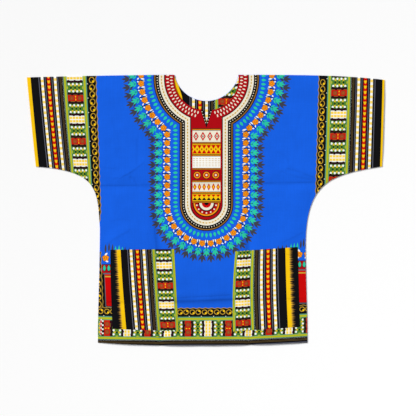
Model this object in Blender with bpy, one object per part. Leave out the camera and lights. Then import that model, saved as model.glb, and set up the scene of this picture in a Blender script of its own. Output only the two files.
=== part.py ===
"""Dashiki shirt laid out flat: a front and a back with cut-on sleeves, a facing behind the neck and two patch pockets.

Metres, +Z up. The shirt lies on its back on the plane z = 0, neck towards +Y and hem towards -Y, and the origin
is under the middle of its outline. Left and right are as seen from above, with -X on the left.
Every piece is a cloth wall: a lattice of outline points worked out from the sizes, given an under and an upper face.
"""

import math
from collections import Counter, namedtuple

import bpy

# Cloth walls and the space between two of them
FRONT_WALL = 0.0012
BACK_WALL = 0.0012
POCKET_WALL = 0.0012
FACING_WALL = 0.0010
GAP = 0.0003

# Neck to hem
TOP_Y = 0.3774
HEM_Y = -0.3774
HEM_LOW_X = -0.0440
HEM_CORNER_RISE = 0.0084

# Neck hole: each edge is an arc through both ends of the shoulder seams, given by half its width and its depth
NECK_X = 0.0020
NECK_HALF = 0.0893
FRONT_NECK_DEPTH = 0.1000
BACK_NECK_DEPTH = 0.0725
SLIT_HALF = 0.0085
SLIT_DEPTH = 0.0350
FACING_HALF = 0.1190
FACING_DEPTH = 0.1400

# Each side's outline, x measured outwards from the middle line
Side = namedtuple(
    "Side",
    "sign cuff_x cuff_top_drop shoulder_power cuff_low_x cuff_low_y cuff_low_slope cuff_low_reach "
    "armpit_x armpit_y armpit_lean armpit_reach hem_x armhole_share",
)
LEFT = Side(-1, 0.4987, 0.0070, 1.6, 0.4737, 0.1218, 3.6, 0.1795, 0.2950, -0.0495, 0.0076, 0.1016, 0.3006, 0.55)
RIGHT = Side(1, 0.4987, 0.0140, 3.5, 0.4917, 0.1221, 8.5, 0.1503, 0.2783, -0.0914, 0.0027, 0.1675, 0.2833, 0.45)
ARMHOLE_TOP_X = 0.2850

# How the front stands off the back: eased up from its seams, pressed down or drawn up along folds
SEAM_EASE = 0.0500
LOFT = 0.0016
LEAST_LOFT = 0.0002
FACING_MARGIN = 0.0250
FACING_FADE = 0.0700
Fold = namedtuple("Fold", "x0 y0 x1 y1 half_width rise")
FOLDS = (
    Fold(-0.1480, 0.2800, -0.1280, -0.3740, 0.0260, -0.0011),
    Fold(0.1190, 0.2800, 0.1210, -0.3740, 0.0260, -0.0011),
    Fold(-0.2950, 0.0680, 0.2950, 0.0770, 0.0260, -0.0011),
    Fold(-0.3000, -0.2560, 0.2830, -0.2480, 0.0260, -0.0011),
    Fold(-0.2390, 0.0900, -0.1750, 0.1320, 0.0300, 0.0010),
    Fold(0.2300, 0.1180, 0.2990, 0.0930, 0.0300, 0.0010),
    Fold(-0.2730, -0.0910, -0.2170, -0.0580, 0.0300, 0.0008),
    Fold(0.2130, -0.0890, 0.2710, -0.0610, 0.0300, 0.0008),
    Fold(-0.4300, 0.2900, -0.3300, 0.2100, 0.0400, 0.0009),
    Fold(0.4300, 0.2900, 0.3300, 0.2000, 0.0400, 0.0009),
)

# Patch pockets, by their corners on the front
Pocket = namedtuple("Pocket", "name top_left top_right bottom_left bottom_right")
POCKETS = (
    Pocket("pocket_left", (-0.2657, -0.1103), (-0.0877, -0.1081), (-0.2596, -0.3302), (-0.0755, -0.3375)),
    Pocket("pocket_right", (0.0822, -0.1145), (0.2563, -0.1023), (0.0760, -0.3375), (0.2624, -0.3252)),
)
POCKET_COLUMNS = 10
POCKET_ROWS = 12
POCKET_REACH = 0.0100

# Lattice counts, with rows from hem to armhole, from armhole to chest and from chest to shoulder
SHOULDER_COLUMNS = 9
NECK_COLUMNS = 16
SLEEVE_COLUMNS = 11
FRONT_ROWS = (20, 7, 9)
BACK_ROWS = (8, 3, 5)
FACING_ROWS = 4
NECK_SPREAD = 0.1350
CHEST_NECK_SPREAD = 0.1650
CHEST_SHARE = 0.4500
CURVE_SAMPLES = 400
SHARP_DEGREES = 40

BLUE = (0.010, 0.114, 0.723)
STRIPE_BLACK = (0.012, 0.011, 0.014)
COTTON_ROUGHNESS = 0.85


def blend(a, b, t):
    """The point a share t of the way from point a to point b."""
    return (a[0] + (b[0] - a[0]) * t, a[1] + (b[1] - a[1]) * t)


def smooth_step(t):
    t = min(max(t, 0.0), 1.0)
    return t * t * (3 - 2 * t)


def evenly_spaced(curve, count):
    """count + 1 points along curve(t), t from 0 to 1, with equal lengths between them."""
    fine = [curve(i / CURVE_SAMPLES) for i in range(CURVE_SAMPLES + 1)]
    lengths = [0.0]
    for a, b in zip(fine, fine[1:]):
        lengths.append(lengths[-1] + math.dist(a, b))
    points = []
    at = 0
    for k in range(count + 1):
        wanted = lengths[-1] * k / count
        while at < CURVE_SAMPLES - 1 and lengths[at + 1] < wanted:
            at += 1
        share = (wanted - lengths[at]) / (lengths[at + 1] - lengths[at])
        points.append(blend(fine[at], fine[at + 1], share))
    return points


def arc_radius(half_width, depth):
    return (half_width**2 + depth**2) / (2 * depth)


def neck_arc(half_width, depth):
    """A curve along an arc that hangs from the shoulder line by its two ends."""
    radius = arc_radius(half_width, depth)
    centre_y = TOP_Y - depth + radius
    half_angle = math.atan2(half_width, radius - depth)

    def curve(t):
        angle = half_angle * (2 * t - 1)
        return (NECK_X + radius * math.sin(angle), centre_y - radius * math.cos(angle))

    return curve


def shoulder_point(side, x_out):
    """The point of the shoulder seam at this distance from the middle."""
    share = (x_out - NECK_HALF) / (side.cuff_x - NECK_HALF)
    drop = side.cuff_top_drop * max(share, 0.0) ** side.shoulder_power
    return (side.sign * x_out, TOP_Y - drop)


def underarm_curve(side):
    """The sleeve's underside, a cubic curve from the armpit to the lower end of the cuff."""
    slope = math.radians(side.cuff_low_slope)
    start = (side.armpit_x, side.armpit_y)
    lift = (side.armpit_x + side.armpit_lean, side.armpit_y + side.armpit_reach)
    end = (side.cuff_low_x, side.cuff_low_y)
    lead = (end[0] - side.cuff_low_reach * math.cos(slope), end[1] - side.cuff_low_reach * math.sin(slope))

    def curve(t):
        weights = ((1 - t) ** 3, 3 * (1 - t) ** 2 * t, 3 * (1 - t) * t * t, t**3)
        x, y = (sum(w * p[i] for w, p in zip(weights, (start, lift, lead, end))) for i in (0, 1))
        return (side.sign * x, y)

    return curve


def hem_y(x):
    edge = RIGHT.hem_x if x > HEM_LOW_X else -LEFT.hem_x
    return HEM_Y + HEM_CORNER_RISE * ((x - HEM_LOW_X) / (edge - HEM_LOW_X)) ** 2


def side_seam_point(side, t):
    """From the hem's corner, t = 0, up to the armpit, t = 1, widening softly downwards."""
    corner = (side.sign * side.hem_x, hem_y(side.sign * side.hem_x))
    x = side.armpit_x + (side.hem_x - side.armpit_x) * smooth_step(1 - t)
    return (side.sign * x, corner[1] + (side.armpit_y - corner[1]) * t)


def body_side(side):
    """The body's side as a curve from the hem's corner, round the armpit, to where the armhole line starts."""
    round_armpit = underarm_curve(side)

    def curve(t):
        if t < 0.5:
            return side_seam_point(side, t * 2)
        return round_armpit((t * 2 - 1) * side.armhole_share)

    return curve


def front_neckline():
    """The front's neck arc with the short slit at its lowest point."""
    radius = arc_radius(NECK_HALF, FRONT_NECK_DEPTH)
    sweep = 2 * math.atan2(NECK_HALF, radius - FRONT_NECK_DEPTH)
    side_share = 0.5 - math.asin(SLIT_HALF / radius) / sweep
    arc = neck_arc(NECK_HALF, FRONT_NECK_DEPTH)
    steps = NECK_COLUMNS // 2 - 1
    left = evenly_spaced(lambda t: arc(t * side_share), steps)
    right = evenly_spaced(lambda t: arc(1 - (1 - t) * side_share), steps)
    tip = (NECK_X, TOP_Y - FRONT_NECK_DEPTH - SLIT_DEPTH)
    return left + [tip] + right


def back_neckline():
    return evenly_spaced(neck_arc(NECK_HALF, BACK_NECK_DEPTH), NECK_COLUMNS)


def column_row(left, right, neck_spread):
    """A straight row across the body, its neck columns over the middle stretch and its shoulder columns beyond."""
    xs = []
    for start, end, count in (
        (left[0], NECK_X - neck_spread, SHOULDER_COLUMNS),
        (NECK_X - neck_spread, NECK_X + neck_spread, NECK_COLUMNS),
        (NECK_X + neck_spread, right[0], SHOULDER_COLUMNS),
    ):
        xs += [start + (end - start) * k / count for k in range(count)]
    xs.append(right[0])
    return [blend(left, right, (x - left[0]) / (right[0] - left[0])) for x in xs]


def top_row(neckline):
    """The body's upper edge from armhole to armhole, by way of the neckline."""
    neck_ends = (NECK_HALF - NECK_X, NECK_HALF + NECK_X)
    left, right = (
        [shoulder_point(side, end + (ARMHOLE_TOP_X - end) * k / SHOULDER_COLUMNS) for k in range(SHOULDER_COLUMNS + 1)]
        for side, end in zip((LEFT, RIGHT), neck_ends)
    )
    return left[:0:-1] + neckline + right[1:]


def hem_bow(x):
    """How far the hem hangs below the straight line between its corners."""
    left, right = side_seam_point(LEFT, 0), side_seam_point(RIGHT, 0)
    return hem_y(x) - blend(left, right, (x - left[0]) / (right[0] - left[0]))[1]


def body_lattice(neckline, rows_below, rows_chest, rows_above):
    """Rows of points from the hem past the armpits and the chest up to the shoulders and the neckline."""
    rows = []
    sides = zip(*(evenly_spaced(body_side(side), rows_below) for side in (LEFT, RIGHT)))
    for r, (left, right) in enumerate(sides):
        bow_share = 1 - r / rows_below
        rows.append([(x, y + hem_bow(x) * bow_share) for x, y in column_row(left, right, NECK_SPREAD)])
    top = top_row(neckline)
    chest = column_row(*(blend(rows[-1][i], top[i], CHEST_SHARE) for i in (0, -1)), CHEST_NECK_SPREAD)
    for low, high, count in ((rows[-1], chest, rows_chest), (chest, top, rows_above)):
        for r in range(1, count + 1):
            rows.append([blend(a, b, r / count) for a, b in zip(low, high)])
    return rows


def sleeve_lattice(side, armhole):
    """Rows of points from the armhole line, which the body shares, out to the cuff."""
    rows = len(armhole) - 1
    underarm = underarm_curve(side)
    lows = evenly_spaced(lambda t: underarm(side.armhole_share + (1 - side.armhole_share) * t), SLEEVE_COLUMNS)
    stations = [armhole]
    for k in range(1, SLEEVE_COLUMNS + 1):
        x_out = ARMHOLE_TOP_X + (side.cuff_x - ARMHOLE_TOP_X) * k / SLEEVE_COLUMNS
        high = shoulder_point(side, x_out)
        stations.append([blend(lows[k], high, r / rows) for r in range(rows + 1)])
    return [list(row) for row in zip(*stations)]


def panel_lattices(neckline, rows_below, rows_chest, rows_above):
    """The three lattices of a panel cut in one piece: its body and both sleeves."""
    body = body_lattice(neckline, rows_below, rows_chest, rows_above)
    upper = body[rows_below:]
    left = sleeve_lattice(LEFT, [row[0] for row in upper])
    right = sleeve_lattice(RIGHT, [row[-1] for row in upper])
    return [body, [row[::-1] for row in left], right]


def sewn_edges():
    """The seams that join front and back, as short straight lengths."""
    runs = []
    for side in (LEFT, RIGHT):
        runs.append([side_seam_point(side, t / 4) for t in range(5)])
        runs.append(evenly_spaced(underarm_curve(side), SLEEVE_COLUMNS))
        runs.append([shoulder_point(side, NECK_HALF + (side.cuff_x - NECK_HALF) * t / 6) for t in range(7)])
    return [pair for run in runs for pair in zip(run, run[1:])]


SEWN_EDGES = sewn_edges()


def distance_to_segment(x, y, a, b):
    along = (b[0] - a[0], b[1] - a[1])
    t = ((x - a[0]) * along[0] + (y - a[1]) * along[1]) / (along[0] ** 2 + along[1] ** 2)
    near = blend(a, b, min(max(t, 0.0), 1.0))
    return math.hypot(x - near[0], y - near[1])


def fold_rise(fold, x, y):
    share = distance_to_segment(x, y, (fold.x0, fold.y0), (fold.x1, fold.y1)) / fold.half_width
    return fold.rise * (1 - share * share) ** 2 if share < 1 else 0.0


def loft(x, y):
    """How far the front stands off what it lies on, beyond the gap at its seams."""
    rises = [fold_rise(fold, x, y) for fold in FOLDS]
    shaped = max(LOFT + min(rises) + max(rises), LEAST_LOFT)
    seam_distance = min(distance_to_segment(x, y, a, b) for a, b in SEWN_EDGES)
    return shaped * smooth_step(seam_distance / SEAM_EASE)


def over_facing(x, y):
    """1 over the facing and a little past it, falling to 0 away from it."""
    radius = arc_radius(FACING_HALF, FACING_DEPTH)
    past = math.hypot(x - NECK_X, y - (TOP_Y - FACING_DEPTH + radius)) - radius
    return 1 - smooth_step((past - FACING_MARGIN) / (FACING_FADE - FACING_MARGIN))


def back_upper(x, y):
    return BACK_WALL


def facing_under(x, y):
    return BACK_WALL + GAP


def front_under(x, y):
    return BACK_WALL + GAP + over_facing(x, y) * (FACING_WALL + GAP) + loft(x, y)


def front_upper(x, y):
    return front_under(x, y) + FRONT_WALL


def pocket_under(x, y):
    """Just clear of the front, also between the front's own lattice points."""
    around = (-POCKET_REACH, 0.0, POCKET_REACH)
    return max(front_upper(x + dx, y + dy) for dx in around for dy in around) + GAP


def pocket_lattice(pocket):
    rows = []
    for r in range(POCKET_ROWS + 1):
        left = blend(pocket.bottom_left, pocket.top_left, r / POCKET_ROWS)
        right = blend(pocket.bottom_right, pocket.top_right, r / POCKET_ROWS)
        rows.append([blend(left, right, k / POCKET_COLUMNS) for k in range(POCKET_COLUMNS + 1)])
    return rows


def facing_lattice():
    """A crescent from its outer edge, under the front, in to the back's neckline."""
    outer = evenly_spaced(neck_arc(FACING_HALF, FACING_DEPTH), NECK_COLUMNS)
    inner = back_neckline()
    return [[blend(o, i, r / FACING_ROWS) for o, i in zip(outer, inner)] for r in range(FACING_ROWS + 1)]


def cloth_material(name, colour):
    material = bpy.data.materials.new(name)
    material.use_nodes = True
    shader = material.node_tree.nodes["Principled BSDF"]
    shader.inputs["Base Color"].default_value = (*colour, 1.0)
    shader.inputs["Roughness"].default_value = COTTON_ROUGHNESS
    shader.inputs["Metallic"].default_value = 0.0
    return material


def lattice_faces(lattices):
    """The lattices' shared flat points and their four-sided faces, each anticlockwise from above."""
    index = {}
    flat = []
    faces = []
    for rows in lattices:
        ids = []
        for row in rows:
            for x, y in row:
                key = (round(x, 6), round(y, 6))
                if key not in index:
                    index[key] = len(flat)
                    flat.append((x, y))
            ids.append([index[round(x, 6), round(y, 6)] for x, y in row])
        for low, high in zip(ids, ids[1:]):
            for k in range(len(low) - 1):
                faces.append((low[k], low[k + 1], high[k + 1], high[k]))
    return flat, faces


def cloth_wall(name, lattices, under, upper, material, parent):
    """One closed wall between two heights over the same flat points, its origin at their middle."""
    flat, faces = lattice_faces(lattices)
    middle = [(min(p[i] for p in flat) + max(p[i] for p in flat)) / 2 for i in (0, 1)]
    floor = min(under(x, y) for x, y in flat)
    count = len(flat)
    vertices = [(x - middle[0], y - middle[1], under(x, y) - floor) for x, y in flat]
    vertices += [(x - middle[0], y - middle[1], upper(x, y) - floor) for x, y in flat]
    edges = Counter()
    for face in faces:
        for a, b in zip(face, face[1:] + face[:1]):
            edges[a, b] += 1
    rim = [(a, b, b + count, a + count) for a, b in edges if (b, a) not in edges]
    above = [tuple(i + count for i in face) for face in faces]
    below = [face[::-1] for face in faces]
    mesh = bpy.data.meshes.new(name)
    mesh.from_pydata(vertices, [], above + below + rim)
    mesh.validate()
    mesh.shade_smooth()
    mesh.set_sharp_from_angle(angle=math.radians(SHARP_DEGREES))
    mesh.materials.append(material)
    piece = bpy.data.objects.new(name, mesh)
    piece.location = (middle[0], middle[1], floor)
    piece.parent = parent
    bpy.context.scene.collection.objects.link(piece)
    return piece


def make_back(material, parent):
    lattices = panel_lattices(back_neckline(), *BACK_ROWS)
    return cloth_wall("back", lattices, lambda x, y: 0.0, back_upper, material, parent)


def make_front(material, parent):
    lattices = panel_lattices(front_neckline(), *FRONT_ROWS)
    return cloth_wall("front", lattices, front_under, front_upper, material, parent)


def make_facing(material, parent):
    return cloth_wall(
        "neck_facing",
        [facing_lattice()],
        facing_under,
        lambda x, y: facing_under(x, y) + FACING_WALL,
        material,
        parent,
    )


def make_pocket(pocket, material, parent):
    return cloth_wall(
        pocket.name,
        [pocket_lattice(pocket)],
        pocket_under,
        lambda x, y: pocket_under(x, y) + POCKET_WALL,
        material,
        parent,
    )


def main():
    for old in list(bpy.data.objects):
        bpy.data.objects.remove(old)
    shirt = bpy.data.objects.new("dashiki_shirt", None)
    bpy.context.scene.collection.objects.link(shirt)
    blue = cloth_material("blue_cotton", BLUE)
    striped = cloth_material("striped_cotton", STRIPE_BLACK)
    make_back(blue, shirt)
    make_front(blue, shirt)
    make_facing(striped, shirt)
    for pocket in POCKETS:
        make_pocket(pocket, striped, shirt)


main()
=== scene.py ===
import math
from collections import namedtuple

import bpy
import numpy as np
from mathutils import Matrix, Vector
from mathutils.geometry import delaunay_2d_cdt


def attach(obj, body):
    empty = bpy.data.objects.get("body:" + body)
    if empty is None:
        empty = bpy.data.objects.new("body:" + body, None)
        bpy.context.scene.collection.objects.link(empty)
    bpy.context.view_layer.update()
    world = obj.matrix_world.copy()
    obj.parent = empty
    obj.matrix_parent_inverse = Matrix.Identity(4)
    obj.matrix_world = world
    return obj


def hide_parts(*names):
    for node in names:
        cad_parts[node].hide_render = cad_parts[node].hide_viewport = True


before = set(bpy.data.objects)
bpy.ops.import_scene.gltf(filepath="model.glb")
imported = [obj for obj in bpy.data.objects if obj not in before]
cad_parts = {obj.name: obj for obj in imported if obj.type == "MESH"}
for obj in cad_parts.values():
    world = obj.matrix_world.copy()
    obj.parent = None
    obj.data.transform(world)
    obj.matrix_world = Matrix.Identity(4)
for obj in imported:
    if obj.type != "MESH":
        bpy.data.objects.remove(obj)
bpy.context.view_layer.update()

# Looks of a dashiki shirt that lies flat, front up. Lengths are in millimetres up to where a mesh is made,
# in the frame of the solids: x to the right cuff, y from hem to neck, z up.
MM = 0.001
ALL_BODIES = "root"

# Walls as in the solids, and the thinner cloth that shows
FRONT_UNDER = 1.5
FACING_LIFT = 1.3
BACK_WALL = 1.2
FACING_Z = 1.5
CLOTH = 0.8
POCKET_CLOTH = 0.9
FRONT_CLOTH = 0.95
DEEPEST_DENT = 0.9
CLEARANCE = 0.05

# Neck
TOP_Y = 377.4
NECK_X = 2.0
NECK_HALF = 89.3
FRONT_NECK_DEPTH = 100.0
BACK_NECK_DEPTH = 72.5
SLIT_HALF = 8.5
SLIT_DEPTH = 35.0
FACING_HALF = 119.0
FACING_DEPTH = 140.0

# Outline of each side, x measured outwards from the middle line
HEM_Y = -377.4
HEM_LOW_X = -44.0
HEM_CORNER_RISE = 8.4
Side = namedtuple(
    "Side",
    "sign cuff_x cuff_top_drop shoulder_power cuff_low_x cuff_low_y cuff_low_slope cuff_low_reach "
    "armpit_x armpit_y armpit_lean armpit_reach hem_x",
)
LEFT = Side(-1, 498.7, 7.0, 1.6, 473.7, 121.8, 3.6, 179.5, 295.0, -49.5, 7.6, 101.6, 300.6)
RIGHT = Side(1, 498.7, 14.0, 3.5, 491.7, 122.1, 8.5, 150.3, 278.3, -91.4, 2.7, 167.5, 283.3)

# Pockets by their corners, and how the border lies on each
Pocket = namedtuple(
    "Pocket",
    "name top_left top_right bottom_left bottom_right left_bow first_block mirrored "
    "drift_top drift_low drift_power hold climb",
)
LEFT_CORNERS = ((-265.7, -110.3), (-87.7, -108.1), (-259.6, -330.2), (-75.5, -337.5))
RIGHT_CORNERS = ((82.2, -114.5), (256.3, -102.3), (76.0, -337.5), (262.4, -325.2))
POCKETS = (
    Pocket("pocket_left", *LEFT_CORNERS, 1.5, 61.2, False, 0.0, 0.050, 2, 0.0, 2.6),
    Pocket("pocket_right", *RIGHT_CORNERS, 4.0, 50.9, True, 0.056, 0.036, 4, 0.036, 5.0),
)
POCKET_HEIGHT = 226.0
POCKET_CLEARANCE = 0.10
POCKET_LOFT = 0.35
POCKET_EASE = 26.0
POCKET_GAPE = 0.85
POCKET_GAPE_REACH = 60.0

# How the front stands off the back, as in the solids but for its four short slants, which are lower here
SEAM_EASE = 50.0
LOFT = 1.6
LEAST_LOFT = 0.2
FACING_MARGIN = 25.0
FACING_FADE = 70.0
Fold = namedtuple("Fold", "x0 y0 x1 y1 half_width rise")
WIDE_FOLDS = (
    Fold(-148.0, 280.0, -128.0, -374.0, 26.0, -1.1),
    Fold(119.0, 280.0, 121.0, -374.0, 26.0, -1.1),
    Fold(-295.0, 68.0, 295.0, 77.0, 26.0, -1.1),
    Fold(-300.0, -256.0, 283.0, -248.0, 26.0, -1.1),
    Fold(-239.0, 90.0, -175.0, 132.0, 30.0, 0.5),
    Fold(230.0, 118.0, 299.0, 93.0, 30.0, 0.6),
    Fold(-273.0, -91.0, -217.0, -58.0, 30.0, 0.5),
    Fold(213.0, -89.0, 271.0, -61.0, 30.0, 0.5),
    Fold(-430.0, 290.0, -330.0, 210.0, 40.0, 0.9),
    Fold(430.0, 290.0, 330.0, 200.0, 40.0, 0.9),
)

# Pressed creases: the cloth was folded to a packet, and each keeps a narrow line
Crease = namedtuple("Crease", "points depth width unevenness")
LIGHT_FROM = (-0.78, 0.63)
CREASE_STEP = 12.0
CREASE_REACH = 9.0
CREASE_FLANK = 1.4
CREASE_LEAN = 0.88
# Painted shade: how far it reaches from each crease, and how much of the colour one step of it takes off
PAINTED_CREASE_SHADE_REACH = 16.0
PAINTED_SHADE_STRENGTH = 0.12
CREASES = (
    Crease(((-152, 377), (-147, 150), (-144, -18), (-135, -104), (-127, -377)), 1.05, 4.2, 0.35),
    Crease(((121, 377), (119, 100), (119, -46), (116, -111), (121, -377)), 1.05, 3.8, 0.35),
    Crease(((-330, 66), (-284, 68), (-120, 69), (60, 72), (296, 77), (340, 79)), 0.85, 4.4, 0.6),
    Crease(((-301, -257), (-170, -255), (-44, -254), (60, -250), (120, -248), (284, -247)), 1.05, 3.6, 0.5),
    Crease(((-144, -14), (-138, -62), (-134, -112)), 0.60, 8.0, 0.2),
    Crease(((118, -46), (116, -80), (115, -114)), 0.60, 8.0, 0.2),
    Crease(((-272, 68), (-226, 67), (-166, 69)), 0.40, 6.5, 0.2),
    Crease(((184, 75), (240, 77), (294, 77)), 0.40, 6.0, 0.2),
    Crease(((-96, -246), (-20, -242), (66, -237)), 0.60, 3.6, 0.2),
    Crease(((-239, 90), (-205, 109), (-175, 132)), -0.50, 3.2, 0.3),
    Crease(((-211, 93), (-199, 83), (-189, 68)), 0.50, 3.0, 0.3),
    Crease(((-258, 84), (-238, 94), (-214, 98)), 0.25, 4.0, 0.3),
    Crease(((-284, 117), (-262, 116), (-244, 113)), 0.30, 4.0, 0.3),
    Crease(((-273, -91), (-246, -73), (-217, -58)), -0.38, 4.0, 0.3),
    Crease(((-262, -32), (-236, -26), (-205, -30)), 0.20, 4.5, 0.3),
    Crease(((-192, 196), (-190, 160), (-191, 128)), 0.30, 4.5, 0.3),
    Crease(((229, 118), (262, 108), (299, 93)), -0.50, 3.6, 0.3),
    Crease(((212, 108), (243, 95), (296, 84)), 0.30, 3.6, 0.3),
    Crease(((200, 162), (214, 156), (232, 140)), 0.30, 4.5, 0.3),
    Crease(((213, -89), (240, -76), (271, -61)), -0.36, 4.0, 0.3),
    Crease(((291, 44), (288, 20), (280, -4)), 0.30, 4.5, 0.3),
    Crease(((-60, -95), (-10, -118), (48, -131)), -0.30, 6.0, 0.3),
    Crease(((-262, 250), (-240, 190), (-246, 150)), 0.22, 7.0, 0.3),
    Crease(((262, 262), (248, 205), (258, 160)), 0.22, 7.0, 0.3),
)

# Places where the cloth leans away from the light, given painted shade: their colour is darkened a little
Shade = namedtuple("Shade", "points half_width darkness")
SHADES = (
    Shade(((-82, -254), (0, -253.5), (70, -248)), 12.0, 1.7),
    Shade(((-86, -264), (0, -263), (74, -260)), 15.0, 0.9),
    Shade(((-80, -239), (0, -239), (62, -235)), 8.0, 0.4),
    Shade(((-60, -205), (60, -205)), 62.0, 0.5),
    Shade(((-140, -30), (-134, -110)), 10.0, 0.5),
    Shade(((117, -40), (115, -114)), 10.0, 0.5),
    Shade(((222, 352), (280, 330)), 46.0, 0.5),
)

# Camera: the photo's width and its centre on both axes, lens and sensor
PHOTO_SPAN = 1160.6
CENTRE = 6.3
LENS = 85.0
SENSOR = 36.0

# Hems and topstitching
HEM_FOLD = 20.0
CUFF_FOLD = 18.0
NECK_STITCH = 4.0
POCKET_STITCH = 3.5
POCKET_TOP_FOLD = 20.0
STITCH_PITCH = 3.6
STITCH_LENGTH = 2.5
EDGE_ROLL = 2.4
EDGE_ROWS = (0.35, 0.9, 1.6, 2.6)
PUCKER_REACH = 9.0
STITCH_SINK = 1.5
FRONT_STITCH_DENT = 0.34
POCKET_STITCH_DENT = 0.26
PUCKER = 0.10
HEM_RAISED = 0.30
FOLD_STEP = 2.5
SETTLED_REACH = 30.0

# Colours of the cloth as they look, 0 to 255
INKS = {
    "blue": (20, 96, 227),
    "black": (12, 12, 15),
    "dark": (42, 8, 20),
    "grey": (62, 64, 76),
    "ash": (98, 100, 114),
    "brown": (112, 88, 44),
    "bronze": (150, 106, 46),
    "brass": (160, 130, 52),
    "gold": (204, 162, 50),
    "yellow": (250, 200, 10),
    "straw": (224, 196, 50),
    "amber": (253, 214, 68),
    "honey": (254, 220, 104),
    "orange": (245, 152, 22),
    "ember": (226, 88, 20),
    "red": (201, 2, 3),
    "maroon": (172, 4, 16),
    "brick": (194, 31, 13),
    "cream": (240, 232, 210),
    "white": (250, 250, 246),
    "olive": (180, 186, 24),
    "sea": (84, 150, 128),
    "green": (76, 128, 50),
    "deep_green": (10, 66, 26),
    "teal": (44, 200, 158),
    "reverse": (58, 112, 205),
    "reverse_dark": (52, 48, 52),
    "dark_thread": (30, 28, 30),
    "red_thread": (120, 10, 18),
}


def smooth_step(t):
    t = np.clip(t, 0.0, 1.0)
    return t * t * (3 - 2 * t)


def blend(a, b, t):
    return (a[0] + (b[0] - a[0]) * t, a[1] + (b[1] - a[1]) * t)


def resample(points, step):
    """Points along a polyline at equal lengths, about a step apart."""
    points = np.asarray(points, float)
    along = np.concatenate([[0.0], np.cumsum(np.hypot(*np.diff(points, axis=0).T))])
    count = max(1, round(along[-1] / step))
    wanted = np.linspace(0.0, along[-1], count + 1)
    return np.column_stack([np.interp(wanted, along, points[:, i]) for i in (0, 1)])


def arc_radius(half_width, depth):
    return (half_width**2 + depth**2) / (2 * depth)


def neck_arc(half_width, depth, grow=0.0):
    """Points from left to right along a neck edge, or along a line that lies grow outside it."""
    radius = arc_radius(half_width, depth)
    half_angle = math.atan2(half_width, radius - depth)
    angles = np.linspace(-half_angle, half_angle, 121)
    centre_y = TOP_Y - depth + radius
    reach = radius + grow
    return np.column_stack([NECK_X + reach * np.sin(angles), centre_y - reach * np.cos(angles)])


def front_neckline(grow=0.0):
    arc = neck_arc(NECK_HALF, FRONT_NECK_DEPTH, grow)
    half = SLIT_HALF + grow * 0.5
    low = TOP_Y - FRONT_NECK_DEPTH
    lip = low + 0.45 - grow
    slit = [(NECK_X - half, lip), (NECK_X, low - SLIT_DEPTH - grow * 1.6), (NECK_X + half, lip)]
    return np.vstack([arc[arc[:, 0] < NECK_X - half], slit, arc[arc[:, 0] > NECK_X + half]])


def shoulder_line(side):
    """From the neck's end of the shoulder seam out to the cuff."""
    x_out = np.linspace(NECK_HALF + side.sign * NECK_X, side.cuff_x, 60)
    share = np.clip((x_out - NECK_HALF) / (side.cuff_x - NECK_HALF), 0.0, None)
    return np.column_stack([side.sign * x_out, TOP_Y - side.cuff_top_drop * share**side.shoulder_power])


def underarm(side):
    """From the armpit out to the lower end of the cuff."""
    slope = math.radians(side.cuff_low_slope)
    start = np.array([side.armpit_x, side.armpit_y])
    lift = np.array([side.armpit_x + side.armpit_lean, side.armpit_y + side.armpit_reach])
    end = np.array([side.cuff_low_x, side.cuff_low_y])
    lead = end - side.cuff_low_reach * np.array([math.cos(slope), math.sin(slope)])
    t = np.linspace(0.0, 1.0, 121)[:, None]
    curve = (1 - t) ** 3 * start + 3 * (1 - t) ** 2 * t * lift + 3 * (1 - t) * t * t * lead + t**3 * end
    return curve * np.array([side.sign, 1.0])


def hem_height(x):
    x = np.asarray(x, float)
    edge = np.where(x > HEM_LOW_X, RIGHT.hem_x, -LEFT.hem_x)
    return HEM_Y + HEM_CORNER_RISE * ((x - HEM_LOW_X) / (edge - HEM_LOW_X)) ** 2


def hem_line():
    x = np.linspace(-LEFT.hem_x, RIGHT.hem_x, 121)
    return np.column_stack([x, hem_height(x)])


def side_seam(side):
    """From the hem's corner up to the armpit."""
    t = np.linspace(0.0, 1.0, 60)
    low = float(hem_height(side.sign * side.hem_x))
    x = side.armpit_x + (side.hem_x - side.armpit_x) * smooth_step(1 - t)
    return np.column_stack([side.sign * x, low + (side.armpit_y - low) * t])


def cuff_line(side):
    """From the sleeve's underside up to the shoulder seam."""
    low = (side.sign * side.cuff_low_x, side.cuff_low_y)
    return np.array([low, (side.sign * side.cuff_x, TOP_Y - side.cuff_top_drop)])


def panel_outline(neckline, step=4.0):
    """A panel's whole edge, anticlockwise from the hem's left corner."""
    runs = [
        hem_line(),
        side_seam(RIGHT),
        underarm(RIGHT),
        cuff_line(RIGHT),
        shoulder_line(RIGHT)[::-1],
        neckline[::-1],
        shoulder_line(LEFT),
        cuff_line(LEFT)[::-1],
        underarm(LEFT)[::-1],
        side_seam(LEFT)[::-1],
    ]
    return np.vstack([resample(run, step)[:-1] for run in runs])


def shifted(line, distance):
    """A line moved sideways, to its left for a positive distance."""
    line = np.asarray(line, float)
    direction = np.gradient(line, axis=0)
    direction /= np.hypot(*direction.T)[:, None]
    return line + distance * np.column_stack([-direction[:, 1], direction[:, 0]])


def nearest(x, y, line, reach):
    """Distance from each point to a polyline, no more than reach, and the way there from the polyline."""
    found = np.full(x.shape, float(reach))
    off_x, off_y = np.zeros_like(x), np.zeros_like(x)
    line = np.asarray(line, float)
    for (ax, ay), (bx, by) in zip(line, line[1:]):
        mask = (x > min(ax, bx) - reach) & (x < max(ax, bx) + reach)
        mask &= (y > min(ay, by) - reach) & (y < max(ay, by) + reach)
        if not mask.any():
            continue
        px, py = x[mask] - ax, y[mask] - ay
        dx, dy = bx - ax, by - ay
        t = np.clip((px * dx + py * dy) / (dx * dx + dy * dy + 1e-12), 0.0, 1.0)
        px, py = px - t * dx, py - t * dy
        distance = np.hypot(px, py)
        closer = distance < found[mask]
        for field, value in ((found, distance), (off_x, px), (off_y, py)):
            field[mask] = np.where(closer, value, field[mask])
    return found, off_x, off_y


def near(x, y, line, reach):
    return nearest(x, y, line, reach)[0]


def closed(outline):
    return np.vstack([outline, outline[:1]])


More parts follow.
